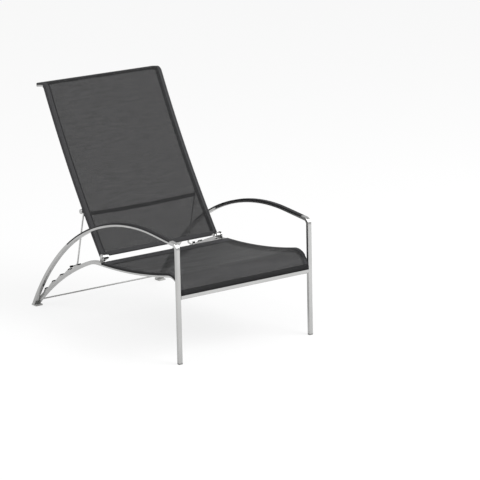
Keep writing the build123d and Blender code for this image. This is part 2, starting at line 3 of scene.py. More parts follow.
import bmesh
import bpy
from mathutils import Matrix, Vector


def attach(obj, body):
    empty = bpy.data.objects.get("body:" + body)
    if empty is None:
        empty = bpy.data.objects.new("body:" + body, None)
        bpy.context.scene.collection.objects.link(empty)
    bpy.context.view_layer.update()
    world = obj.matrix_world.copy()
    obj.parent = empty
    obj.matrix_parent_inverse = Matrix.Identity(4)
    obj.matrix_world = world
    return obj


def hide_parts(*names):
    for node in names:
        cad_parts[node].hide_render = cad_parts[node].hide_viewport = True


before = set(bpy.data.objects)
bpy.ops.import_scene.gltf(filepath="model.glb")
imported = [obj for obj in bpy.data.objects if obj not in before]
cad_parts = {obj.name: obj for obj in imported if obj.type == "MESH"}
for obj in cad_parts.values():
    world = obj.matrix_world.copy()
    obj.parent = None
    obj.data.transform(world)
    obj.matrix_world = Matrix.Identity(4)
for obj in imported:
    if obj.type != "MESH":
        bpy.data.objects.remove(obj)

bl_info = {
    "name": "Reclining garden armchair",
    "version": (1, 0, 0),
    "blender": (4, 5, 0),
    "location": "3D View > Sidebar > Armchair",
    "description": "Steel, plastic and mesh cloth of a reclining garden armchair",
    "category": "Add Mesh",
}

SIDES = ("left", "right")

# Sizes are in metres. Places in the side view are (y, z): y grows to the rear, z upwards.

# Seat rails: a long arc, a tight bend at its front end, then a drop beside the front legs
SEAT_CENTRE = (0.075635, 2.529914)
SEAT_RADIUS = 2.25
BEND_CENTRE = (-0.439647, 0.271656)
BEND_RADIUS = 0.0663
BEND_START = radians(12.8535)
LEG_RAKE = radians(1.9)
RAIL_HALF = 0.0075

# Crossbars where the seat cloth begins and ends
CROSSBAR_TOP = 0.2766
REAR_BAR = (0.028, 0.280419)
REAR_BAR_RADIUS = 0.0075

# Back rails: a slow bow, then a roll to the rear that ends in a short straight tail
BOW_CENTRE = (-3.793069, 3.126015)
BOW_RADIUS = 4.775
BACK_LEAN = radians(36.3)
BACK_LENGTH = 0.748
ROLL_RADIUS = 0.03
ROLL_TURN = radians(72.3)
TAIL = 0.04
BARE_TAIL = 0.006

# Distances along the back, from the lower end of its bow
CLOTH_START = 0.0095
LOW_EDGE = CLOTH_START - 0.0055
ROLL_END = BACK_LENGTH + ROLL_RADIUS * ROLL_TURN
BACK_END = ROLL_END + TAIL - BARE_TAIL
SLEEVE_END = BACK_LENGTH + 0.6 * ROLL_RADIUS * ROLL_TURN

# Openings of the sleeves along the back: middle and half of the length
EAR_OPENING = (0.217, 0.0135)
LOWER_BAR_OPENING = (0.017, 0.0056)
TOP_BAR_OPENING = (BACK_END - 0.012, 0.0066)

# Across the chair; pairs are an inner and an outer face
SEAT_HALF = 0.3167
RAIL_INNER = 0.3
BACK_HALF = 0.2935
BACK_RAIL = (0.274, 0.292)
EAR = (0.286, 0.291)
LOW_EDGE_HALF = 0.262
EDGE_WIDTH = 0.0005

# Gaps: between cloth and steel, and where edges and lines stay clear of each other
PLAY = 0.0003
EAR_CORNER_GAP = 0.0004
SEAT_HEM_GAP = 0.0002
BACK_HEM_GAP = 0.007
RAIL_MARGIN = 0.001

# Depths behind the front of the back cloth
SLEEVE_DEPTH = 0.018
SLEEVE_CORNER = 0.0022
EAR_DEPTH = 0.016
TIP_COVER = 0.0065

# Stretches of cloth that lie on a crossbar, which get painted light
REAR_COVER = 0.042
LOW_COVER = 0.014

# Sag of the seat: where it starts across and along, and how fast it grows from both ends
SAG_HALF = RAIL_INNER - 0.004
SAG_START = 0.02
SAG_FRONT = 0.16
SAG_REAR = 0.14

# Layers of cloth, counted in its thickness
HEM_MIDDLE = 1.45
HEM_LAYER = 0.8
HEM_TOP = 1.85
FLAP_MIDDLE = 1.05
FOLD_START = 1.15
FOLD_END = 2.2
BACK_HEM_MIDDLE = 1.55

# The fold that turns a flap into its sleeve, and the back hems as a share of the hem width
FOLD_WIDTH = 0.0012
BACK_HEM_SHARE = 0.7

# Seat hem and the loop round the rear crossbar
HEM_MARGIN = 0.006
LOOP_HALF = RAIL_INNER - 0.01
LOOP_TURN = pi * 1.16
LOOP_LANDING = (REAR_BAR[0] - 0.022, REAR_BAR[1] + 0.0052)
LOOP_TAIL_STEP = (-0.004, 0.00012)

# Seams
SEAM_MARGIN = 0.003
SEAT_SEAM_HALF = SEAT_HALF - 0.004
SEAT_SEAM_GAP = 0.006
LOOP_SEAM = 0.026
LOOP_SEAM_HALF = 0.29
BACK_SEAM_GAP = 0.012
LOW_SEAM_SHARE = 0.4
TOP_SEAM_SHARE = 0.6

# Streaks counted in a metre across and along the cloth, on the seat painted light and shade of
# its tension ripples; painted shade where the cloth is doubled, painted light where it lies on steel
SEAT_PAINTED_STREAKS = (2.2, 24.0)
BACK_STREAKS = (14.0, 90.0)
BACK_HEM_STREAKS = (14.0, 60.0)
DOUBLED_PAINTED_SHADE = 0.8
ON_STEEL_PAINTED_LIGHT = 2.3

# A band wave turns through this many radians for each unit of its scale
WAVE_TURN = 20

# Sockets of a node that mixes two colours
MIX_SHARE, MIX_DARK, MIX_LIGHT, MIX_RESULT = 0, 6, 7, 2

# Camera, with its lens and film in millimetres
CAMERA_PLACE = (-6.279, -8.675, 3.216)
CAMERA_AZIMUTH = radians(-37.4423)
CAMERA_ELEVATION = radians(15.0492)
CAMERA_LENS = 203.7
CAMERA_FILM = 36.0
CAMERA_REACH = 300.0

# Lamps, floor and backdrop
KEY_PLACE = (2.4, -3.6, 4.2)
KEY_SIDE = 3.4
FILL_PLACE = (-3.8, -1.0, 4.0)
FILL_SIDE = 3.0
FILL_SHARE = 0.3
LAMP_AIM = (0, 0, 0.4)
WHITE = (1, 1, 1, 1)
FLOOR_COLOUR = (0.86, 0.86, 0.86, 1)
FLOOR_GLOW = (("Is Camera Ray", 0.8), ("Is Glossy Ray", 0.3), ("Is Transmission Ray", 0.8))
BACKDROP = 0.97


class ClothSettings(bpy.types.PropertyGroup):
    thickness: bpy.props.FloatProperty(
        name="Thickness",
        description="Thickness of the mesh cloth",
        default=0.0012,
        min=0.0006,
        max=0.0014,
        precision=4,
        unit="LENGTH",
    )
    sag: bpy.props.FloatProperty(
        name="Seat sag",
        description="How far the middle of the seat hangs below its rails",
        default=0.008,
        min=0.0,
        max=0.02,
        precision=4,
        unit="LENGTH",
    )
    hem: bpy.props.FloatProperty(
        name="Hem",
        description="Width of the doubled hems",
        default=0.022,
        min=0.01,
        max=0.04,
        precision=4,
        unit="LENGTH",
    )
    flap: bpy.props.FloatProperty(
        name="Sleeve flap",
        description="Width of the flap that closes a sleeve on the rear of the back",
        default=0.0045,
        min=0.003,
        max=0.02,
        precision=4,
        unit="LENGTH",
    )
    yarn: bpy.props.FloatProperty(
        name="Yarn pitch",
        description="Distance between neighbouring yarns of the weave",
        default=0.0024,
        min=0.001,
        max=0.006,
        precision=4,
        unit="LENGTH",
    )
    openness: bpy.props.FloatProperty(
        name="Openness",
        description="Share of the cloth that is open between the yarns",
        default=0.05,
        min=0.0,
        max=0.2,
        subtype="FACTOR",
    )
    colour: bpy.props.FloatVectorProperty(
        name="Cloth colour",
        description="Colour of the yarn",
        default=(0.020, 0.020, 0.021),
        size=3,
        min=0.0,
        max=1.0,
        subtype="COLOR",
    )


class StitchSettings(bpy.types.PropertyGroup):
    pitch: bpy.props.FloatProperty(
        name="Stitch pitch",
        description="Distance from one stitch to the next",
        default=0.0045,
        min=0.002,
        max=0.01,
        precision=4,
        unit="LENGTH",
    )
    length: bpy.props.FloatProperty(
        name="Stitch length",
        description="Length of the thread that shows in one stitch",
        default=0.0034,
        min=0.001,
        max=0.008,
        precision=4,
        unit="LENGTH",
    )
    thread: bpy.props.FloatProperty(
        name="Thread",
        description="Thickness of the sewing thread",
        default=0.0007,
        min=0.0003,
        max=0.0015,
        precision=4,
        unit="LENGTH",
    )
    colour: bpy.props.FloatVectorProperty(
        name="Thread colour",
        description="Colour of the sewing thread",
        default=(0.022, 0.022, 0.023),
        size=3,
        min=0.0,
        max=1.0,
        subtype="COLOR",
    )


class MetalSettings(bpy.types.PropertyGroup):
    # The struts take a lighter copy of this colour, a painted highlight along the round rods
    colour: bpy.props.FloatVectorProperty(
        name="Steel colour",
        description="Colour of the steel; the bail's struts are a little brighter",
        default=(0.47, 0.47, 0.465),
        size=3,
        min=0.0,
        max=1.0,
        subtype="COLOR",
    )
    roughness: bpy.props.FloatProperty(
        name="Polish",
        description="Roughness of the polished steel",
        default=0.2,
        min=0.02,
        max=0.6,
        subtype="FACTOR",
    )
    fitting_roughness: bpy.props.FloatProperty(
        name="Fitting polish",
        description="Roughness of the pins and nuts",
        default=0.3,
        min=0.02,
        max=0.6,
        subtype="FACTOR",
    )


class PlasticSettings(bpy.types.PropertyGroup):
    black: bpy.props.FloatVectorProperty(
        name="Black plastic",
        description="Colour of the strips, liners, caps, plugs, bushes and washers",
        default=(0.007, 0.007, 0.0075),
        size=3,
        min=0.0,
        max=1.0,
        subtype="COLOR",
    )
    grey: bpy.props.FloatVectorProperty(
        name="Grey plastic",
        description="Colour of the rear glides; the front ones are a darker shade of it",
        default=(0.42, 0.42, 0.41),
        size=3,
        min=0.0,
        max=1.0,
        subtype="COLOR",
    )


class StageSettings(bpy.types.PropertyGroup):
    floor_size: bpy.props.FloatProperty(
        name="Floor",
        description="Side of the pale floor",
        default=80.0,
        min=4.0,
        unit="LENGTH",
    )
    key_power: bpy.props.FloatProperty(
        name="Key lamp",
        description="Power of the large soft lamp in watts",
        default=260.0,
        min=0.0,
    )
    sky: bpy.props.FloatProperty(
        name="Surrounding light",
        description="Strength of the even light from all sides",
        default=0.72,
        min=0.0,
        max=1.5,
    )


def settings(name):
    """One of the chair's groups of values."""
    return getattr(bpy.context.scene, "armchair_" + name)


# Materials


def scaled(colour, factor):
    """Darker or lighter shade of a colour."""
    return tuple(min(channel * factor, 1.0) for channel in colour)


def new_material(name):
    """Plain material; returns it with its nodes, links and shader."""
    material = bpy.data.materials.new(name)
    material.use_nodes = True
    nodes, links = material.node_tree.nodes, material.node_tree.links
    shader = next(node for node in nodes if node.type == "BSDF_PRINCIPLED")
    return material, nodes, links, shader


def noise(nodes, links, vector, scale, detail=3.0):
    """Noise texture on a vector output."""
    texture = nodes.new("ShaderNodeTexNoise")
    texture.inputs["Scale"].default_value = scale
    texture.inputs["Detail"].default_value = detail
    links.new(vector, texture.inputs["Vector"])
    return texture.outputs["Fac"]


def spread(nodes, links, value, low, high, start=0.3, end=0.7):
    """Map a value from the range start to end, where most noise lies, to low to high."""
    ramp = nodes.new("ShaderNodeMapRange")
    ramp.inputs["From Min"].default_value = start
    ramp.inputs["From Max"].default_value = end
    ramp.inputs["To Min"].default_value = low
    ramp.inputs["To Max"].default_value = high
    links.new(value, ramp.inputs["Value"])
    return ramp.outputs["Result"]


def tint(nodes, links, value, dark, light):
    """Mix a dark colour and a light one by a value; the light one may be an output."""
    mix = nodes.new("ShaderNodeMix")
    mix.data_type = "RGBA"
    mix.inputs[MIX_DARK].default_value = (*dark, 1)
    if isinstance(light, bpy.types.NodeSocket):
        links.new(light, mix.inputs[MIX_LIGHT])
    else:
        mix.inputs[MIX_LIGHT].default_value = (*light, 1)
    links.new(value, mix.inputs[MIX_SHARE])
    return mix.outputs[MIX_RESULT]


def bump(nodes, links, height, strength, distance):
    """Normal from a height value."""
    node = nodes.new("ShaderNodeBump")
    node.inputs["Strength"].default_value = strength
    node.inputs["Distance"].default_value = distance
    links.new(height, node.inputs["Height"])
    return node.outputs["Normal"]


def finish(name, clouds, grain, shades, roughness, relief):
    """Cloudy colour with a fine grain in gloss and relief, in the object's own space."""
    material, nodes, links, shader = new_material(name)
    place = nodes.new("ShaderNodeTexCoord").outputs["Object"]
    cloudy = noise(nodes, links, place, *clouds)
    fine = noise(nodes, links, place, *grain)
    colour = tint(nodes, links, spread(nodes, links, cloudy, 0, 1), *shades)
    links.new(colour, shader.inputs["Base Color"])
    links.new(spread(nodes, links, fine, *roughness), shader.inputs["Roughness"])
    links.new(bump(nodes, links, fine, *relief), shader.inputs["Normal"])
    return material, shader


def steel(name, colour, roughness, grain=700.0, bare=True):
    """Steel with a faint polishing grain; bare, or under a dull coat."""
    material, shader = finish(
        name,
        clouds=(9.0, 3.0),
        grain=(grain, 6.0),
        shades=(scaled(colour, 0.95), scaled(colour, 1.04)),
        roughness=(roughness - 0.05, roughness + 0.05),
        relief=(0.08, 0.0002),
    )
    shader.inputs["Metallic"].default_value = 1.0 if bare else 0.0
    if not bare:
        shader.inputs["Specular IOR Level"].default_value = 0.2
    return material


def plastic(name, colour, roughness, grain, gloss):
    """Moulded plastic with a fine grain."""
    material, shader = finish(
        name,
        clouds=(25.0, 3.0),
        grain=(grain, 4.0),
        shades=(scaled(colour, 0.85), scaled(colour, 1.2)),
        roughness=(roughness - 0.06, roughness + 0.06),
        relief=(0.25, 0.0003),
    )
    shader.inputs["Specular IOR Level"].default_value = gloss
    return material


def thread_material():
    """Twisted sewing thread."""
    colour = settings("stitches").colour
    material, _ = finish(
        "sewing thread",
        clouds=(1500.0, 2.0),
        grain=(1500.0, 2.0),
        shades=(scaled(colour, 0.7), scaled(colour, 1.5)),
        roughness=(0.5, 0.7),
        relief=(0.3, 0.0002),
    )
    return material


def woven(name, open_share, shade, stretch, streak, rear=False):
    """Mesh cloth: two sets of yarns on the UV map, which is in metres, under soft streaks of painted
    light and shade.

    The open share is that of the whole sheet. Each of its two walls lets its square root
    through: the front wall as holes between the yarns, the rear wall evenly.
    """
    material, nodes, links, shader = new_material(name)
    cloth = settings("cloth")
    uv = nodes.new("ShaderNodeUVMap")
    uv.uv_map = "UVMap"
    crossing = nodes.new("ShaderNodeMath")
    crossing.operation = "MAXIMUM"
    for index, direction in enumerate(("X", "Y")):
        wave = nodes.new("ShaderNodeTexWave")
        wave.wave_type = "BANDS"
        wave.bands_direction = direction
        wave.inputs["Scale"].default_value = 2 * pi / (WAVE_TURN * cloth.yarn)
        wave.inputs["Distortion"].default_value = 0.0
        links.new(uv.outputs["UV"], wave.inputs["Vector"])
        links.new(wave.outputs["Fac"], crossing.inputs[index])
    height = crossing.outputs[0]
    streaks = nodes.new("ShaderNodeMapping")
    streaks.inputs["Scale"].default_value = (*stretch, 1.0)
    links.new(uv.outputs["UV"], streaks.inputs["Vector"])
    bands = noise(nodes, links, streaks.outputs["Vector"], 1.0, 4.0)
    # Dark and light streaks paint light and shade; the shade factor paints shade on doubled cloth
    # and light where it lies on steel
    dark = [channel * (1 - streak) * shade for channel in cloth.colour]
    light = [channel * (1 + streak) * shade for channel in cloth.colour]
    yarns = tint(nodes, links, spread(nodes, links, bands, 0, 1), dark, light)
    # Painted shade in the gaps between the yarns
    weave = tint(nodes, links, spread(nodes, links, height, 0, 1), scaled(dark, 0.35), yarns)
    links.new(weave, shader.inputs["Base Color"])
    shader.inputs["Specular IOR Level"].default_value = 0.12
    links.new(spread(nodes, links, height, 0.75, 0.6), shader.inputs["Roughness"])
    links.new(bump(nodes, links, height, 0.4, 0.0006), shader.inputs["Normal"])
    passed = sqrt(open_share)
    if rear:
        shader.inputs["Alpha"].default_value = 1 - passed
    elif open_share:
        edge = (1 - cos(pi * sqrt(passed))) / 2
        hole = spread(nodes, links, height, 0.0, 1.0, edge * 0.9, edge * 1.1)
        links.new(hole, shader.inputs["Alpha"])
    return material


def dress(material, *names):
    """Give solids one material; a name that ends in an underscore stands for both sides."""
    for name in names:
        for node in [name + side for side in SIDES] if name.endswith("_") else [name]:
            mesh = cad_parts[node].data
            mesh.materials.clear()
            mesh.materials.append(material)


# Lines of the side view


def evenly(low, high, steps):
    """Values from low to high in even steps."""
    return [low + (high - low) * i / steps for i in range(steps + 1)]


def polar(centre, radius, angle):
    """Point of an arc at an angle to the rear of straight up; a negative radius hangs down."""
    return (centre[0] + radius * sin(angle), centre[1] + radius * cos(angle))


def seat_profile(lift, steps, bends=18):
    """Places along the seat at a height above the rails, from the front edge to the rear bar."""
    radius = SEAT_RADIUS - RAIL_HALF - lift
    bend = BEND_RADIUS + RAIL_HALF + lift
    front = -(pi / 2 - LEG_RAKE)
    turn = polar(BEND_CENTRE, bend, front)
    drop = (turn[1] - CROSSBAR_TOP - PLAY) / cos(LEG_RAKE)
    places = [
        (turn[0] - drop * share * sin(LEG_RAKE), turn[1] - drop * share * cos(LEG_RAKE))
        for share in (1, 0.5)
    ]
    places += [polar(BEND_CENTRE, bend, slope) for slope in evenly(front, BEND_START, bends)[:-1]]
    last = asin((SEAT_CENTRE[0] - REAR_BAR[0]) / radius)
    return places + [polar(SEAT_CENTRE, -radius, slope) for slope in evenly(BEND_START, last, steps)]


def back_place(along, depth):
    """Point of the back at a distance along it and a depth behind its front surface."""
    lean = BACK_LEAN - min(along, BACK_LENGTH) / BOW_RADIUS
    up = (sin(lean), cos(lean))
    behind = (cos(lean), -sin(lean))
    if along <= BACK_LENGTH:
        radius = BOW_RADIUS + depth
        return (BOW_CENTRE[0] + radius * behind[0], BOW_CENTRE[1] + radius * behind[1])
    over = along - BACK_LENGTH
    turn = min(over / ROLL_RADIUS, ROLL_TURN)
    straight = over - turn * ROLL_RADIUS
    radius = ROLL_RADIUS - depth
    place = []
    for edge, rise, rear in zip(back_place(BACK_LENGTH, 0), up, behind):
        centre = edge + ROLL_RADIUS * rear
        outwards = rise * sin(turn) - rear * cos(turn)
        onwards = rise * cos(turn) + rear * sin(turn)
        place.append(centre + radius * outwards + straight * onwards)
    return tuple(place)


# Meshes


def mesh_object(name, vertices, faces, uvs=None):
    """Object with smooth faces from places, faces and UV places in metres."""
    mesh = bpy.data.meshes.new(name)
    mesh.from_pydata(vertices, [], faces)
    mesh.validate()
    if uvs:
        layer = mesh.uv_layers.new(name="UVMap")
        for loop in mesh.loops:
            layer.data[loop.index].uv = uvs[loop.vertex_index]
    return smooth_object(name, mesh)


def smooth_object(name, mesh):
    """Object of a mesh with smooth faces."""
    mesh.polygons.foreach_set("use_smooth", [True] * len(mesh.polygons))
    made = bpy.data.objects.new(name, mesh)
    bpy.context.scene.collection.objects.link(made)
    return made


def applied(made):
    """Plain mesh of an object with its modifiers applied."""
    bpy.context.view_layer.update()
    evaluated = made.evaluated_get(bpy.context.evaluated_depsgraph_get())
    return bpy.data.meshes.new_from_object(evaluated)


def grid(name, rows, keep=None):
    """Sheet from rows of (place, uv); keep decides which of its cells stay."""
    across = len(rows[0])
    vertices = [place for row in rows for place, _ in row]
    uvs = [uv for row in rows for _, uv in row]
    faces = []
    for j in range(len(rows) - 1):
        for i in range(across - 1):
            if keep is None or keep(j, i):
                corner = j * across + i
                faces.append((corner, corner + 1, corner + across + 1, corner + across))
    made = mesh_object(name, vertices, faces, uvs)
    tidy = bmesh.new()
    tidy.from_mesh(made.data)
    loose = [vertex for vertex in tidy.verts if not vertex.link_faces]
    bmesh.ops.delete(tidy, geom=loose, context="VERTS")
    tidy.to_mesh(made.data)
    tidy.free()
    return made


def thicken(made, thickness, *materials):
    """Give a sheet its thickness, with a material for its front and perhaps one for its rear."""
    for material in materials:
        made.data.materials.append(material)
    wall = made.modifiers.new("thickness", "SOLIDIFY")
    wall.thickness = thickness
    wall.offset = 0
    wall.use_even_offset = False
    wall.material_offset = len(made.data.materials) - 1
    mesh = applied(made)
    made.modifiers.remove(wall)
    made.data = mesh
    mesh.polygons.foreach_set("use_smooth", [True] * len(mesh.polygons))
    return made


def paint_light_on_steel(sheet, reach, low, high, material):
    """Give the front wall that lies on steel its lighter material, painted light: beside reach,
    below low, above high.
    """
    mesh = sheet.data
    mesh.materials.append(material)
    last = len(mesh.materials) - 1
    layer = mesh.uv_layers["UVMap"].data
    for face in mesh.polygons:
        along = sum(layer[loop].uv.y for loop in face.loop_indices) / face.loop_total
        if face.material_index == 0 and (abs(face.center.x) > reach or not low < along < high):
            face.material_index = last


def lengths(places):
    """Running length along a line of places."""
    total, out = 0.0, [0.0]
    for a, b in zip(places, places[1:]):
        total += sqrt((a[0] - b[0]) ** 2 + (a[1] - b[1]) ** 2)
        out.append(total)
    return out


def in_order(marks, apart=1e-5):
    """Sorted marks along a line, without near doubles."""
    out = []
    for mark in sorted(marks):
        if not out or mark - out[-1] > apart:
            out.append(mark)
    return out


# Seat cloth


def ease(share):
    """Share from 0 to 1 with a soft start and a soft end."""
    share = min(1.0, max(0.0, share))
    return share * share * (3 - 2 * share)


def seat_sag(x, run, whole):
    """How far the seat cloth hangs below its rails at a place."""
    width = max(0.0, 1 - (x / SAG_HALF) ** 2)
    along = ease((run - SAG_START) / SAG_FRONT) * ease((whole - run) / SAG_REAR)
    return settings("cloth").sag * width * along


def seat_surface(lift):
    """Rows of places of the seat cloth at a height above the rails, with its sag."""
    line = seat_profile(lift, 40)
    run = lengths(line)
    edge = SEAT_HALF - EDGE_WIDTH
    columns = in_order(evenly(-SEAT_HALF, SEAT_HALF, 40) + [-edge, edge])
    rows = []
    for k, (y, z) in enumerate(line):
        before, after = line[max(k - 1, 0)], line[min(k + 1, len(line) - 1)]
        along = Vector((0, after[0] - before[0], after[1] - before[1])).normalized()
        inward = Vector((0, along.z, -along.y))
        row = []
        for x in columns:
            drop = inward * seat_sag(x, run[k], run[-1])
            row.append(((x, y + drop.y, z + drop.z), (x, run[k])))
        rows.append(row)
    return rows


def run_of(row):
    """Distance of a row of the seat cloth from its front edge."""
    return row[0][1][1]


class ARMCHAIR_OT_steel(bpy.types.Operator):
    """Polish the steel tubes, racks, lugs and rods"""

    bl_idname = "armchair.steel"
    bl_label = "Polish the steel"

    def execute(self, context):
        metal = settings("metal")
        dress(
            steel("polished steel", metal.colour, metal.roughness),
            "side_frame_",
            "seat_rail_",
            "rack_",
            "hinge_lug_",
            "front_crossbar",
            "rear_seat_crossbar",
            "back_rail_",
            "hinge_knuckle_",
            "pivot_ear_",
            "back_top_crossbar",
            "back_lower_crossbar",
        )
        # A lighter copy of the steel for the struts: painted highlight along the round rods
        bright = scaled(metal.colour, 1.25)
        dress(steel("steel rod with painted highlight", bright, roughness=0.35), "strut_")
        dress(steel("drawn steel rod", metal.colour, roughness=0.55), "rear_tie_rod")
        black = settings("plastic").black
        coat = steel("blackened steel", black, roughness=0.45, grain=900.0, bare=False)
        dress(coat, "bail_crossbar")
        return {"FINISHED"}


class ARMCHAIR_OT_fittings(bpy.types.Operator):
    """Give the pins and nuts their satin finish"""

    bl_idname = "armchair.fittings"
    bl_label = "Finish the pins and nuts"

    def execute(self, context):
        metal = settings("metal")
        dress(
            steel("satin steel", metal.colour, metal.fitting_roughness, grain=1200.0),
            "hinge_pin_",
            "hinge_nut_",
            "bail_pin_",
        )
        return {"FINISHED"}


class ARMCHAIR_OT_black_plastic(bpy.types.Operator):
    """Finish the inlays, strips, liners, caps, plugs, bushes and washers"""

    bl_idname = "armchair.black_plastic"
    bl_label = "Finish the black plastic"

    def execute(self, context):
        black = settings("plastic").black
        # The inlay is a lighter shade of the black plastic
        lighter_black = scaled(black, 2.4)
        inlay = plastic("black arm inlay", lighter_black, roughness=0.5, grain=900.0, gloss=0.15)
        dress(inlay, "arm_inlay_")
        dress(
            plastic("black plastic", black, roughness=0.5, grain=1400.0, gloss=0.15),
            "notch_liners_",
            "seat_edge_strip_",
            "hinge_washer_",
            "hinge_bush_",
            "back_rail_plug_",
            "foot_cap_",
        )
        return {"FINISHED"}


class ARMCHAIR_OT_glides(bpy.types.Operator):
    """Finish the glides under the feet"""

    bl_idname = "armchair.glides"
    bl_label = "Finish the glides"

    def execute(self, context):
        grey = settings("plastic").grey
        dark = scaled(grey, 0.4)
        rear = plastic("grey plastic", grey, roughness=0.55, grain=900.0, gloss=0.4)
        front = plastic("dark grey plastic", dark, roughness=0.55, grain=900.0, gloss=0.3)
        dress(rear, "rear_glide_")
        dress(front, "front_glide_")
        return {"FINISHED"}


class ARMCHAIR_OT_seat_cloth(bpy.types.Operator):
    """Stretch the seat cloth over its rails, with hems at the front and the rear"""

    bl_idname = "armchair.seat_cloth"
    bl_label = "Stretch the seat cloth"

    def execute(self, context):
        cloth = settings("cloth")
        share = cloth.openness
        single = woven("mesh cloth", share, 0.97, SEAT_PAINTED_STREAKS, streak=0.55)
        under = woven("mesh cloth underside", share, 1.0, SEAT_PAINTED_STREAKS, streak=0.4, rear=True)
        # The doubled hem is a darker copy of the cloth: painted shade
        doubled = woven("doubled mesh cloth with painted shade", 0.0, DOUBLED_PAINTED_SHADE, SEAT_PAINTED_STREAKS, streak=0.1)
        rows = seat_surface(PLAY + cloth.thickness / 2)
        sheet = grid("seat_cloth_sheet", rows)
        sheet = thicken(sheet, cloth.thickness, single, under)
        run = run_of(rows[-1])
        # Painted light: a lighter copy of the cloth where it lies on the rails and the rear crossbar
        painted_light_on_steel = woven("mesh cloth with painted light on the rails", 0.0, ON_STEEL_PAINTED_LIGHT, SEAT_PAINTED_STREAKS, streak=0.4)
        paint_light_on_steel(sheet, RAIL_INNER, 0.0, run - REAR_COVER, painted_light_on_steel)
        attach(sheet, "frame")

        hem = self.front_hem(cloth, doubled)
        loop = self.rear_loop(cloth, doubled)
        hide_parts("seat_cloth")
        for piece in (hem, loop):
            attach(piece, "frame")
        return {"FINISHED"}

    def front_hem(self, cloth, material):
        """Second layer of cloth along the front edge."""
        inner = SEAT_HALF - SEAT_HEM_GAP
        rows = []
        for row in seat_surface(PLAY + HEM_MIDDLE * cloth.thickness):
            if run_of(row) <= cloth.hem + HEM_MARGIN:
                rows.append([cell for cell in row if abs(cell[0][0]) < inner])
        return thicken(grid("seat_front_hem", rows), cloth.thickness * HEM_LAYER, material)

    def rear_loop(self, cloth, material, turns=24, drops=6, tails=3):
        """Loop of cloth round the rear crossbar, sewn to the underside of the seat."""
        radius = REAR_BAR_RADIUS + PLAY + cloth.thickness / 2
        line = []
        for i in range(turns + 1):
            turn = pi / 2 - LOOP_TURN * i / turns
            line.append((REAR_BAR[0] + radius * cos(turn), REAR_BAR[1] + radius * sin(turn)))
        last = line[-1]
        for i in range(1, drops + 1):
            share = i / drops
            line.append(tuple(a + (b - a) * share for a, b in zip(last, LOOP_LANDING)))
        for i in range(1, tails + 1):
            line.append(tuple(a + step * i for a, step in zip(LOOP_LANDING, LOOP_TAIL_STEP)))
        columns = evenly(-LOOP_HALF, LOOP_HALF, 24)
        rows = [
            [((x, y, z), (x, distance)) for x in columns]
            for (y, z), distance in zip(line, lengths(line))
        ]
        return thicken(grid("seat_rear_loop", rows), cloth.thickness, material)


# Back cloth


def ends(opening):
    """Both ends of an opening along the back."""
    middle, half = opening
    return [middle - half, middle + half]


def within(place, opening):
    """Whether a place along the back is in an opening."""
    low, high = ends(opening)
    return low < place < high


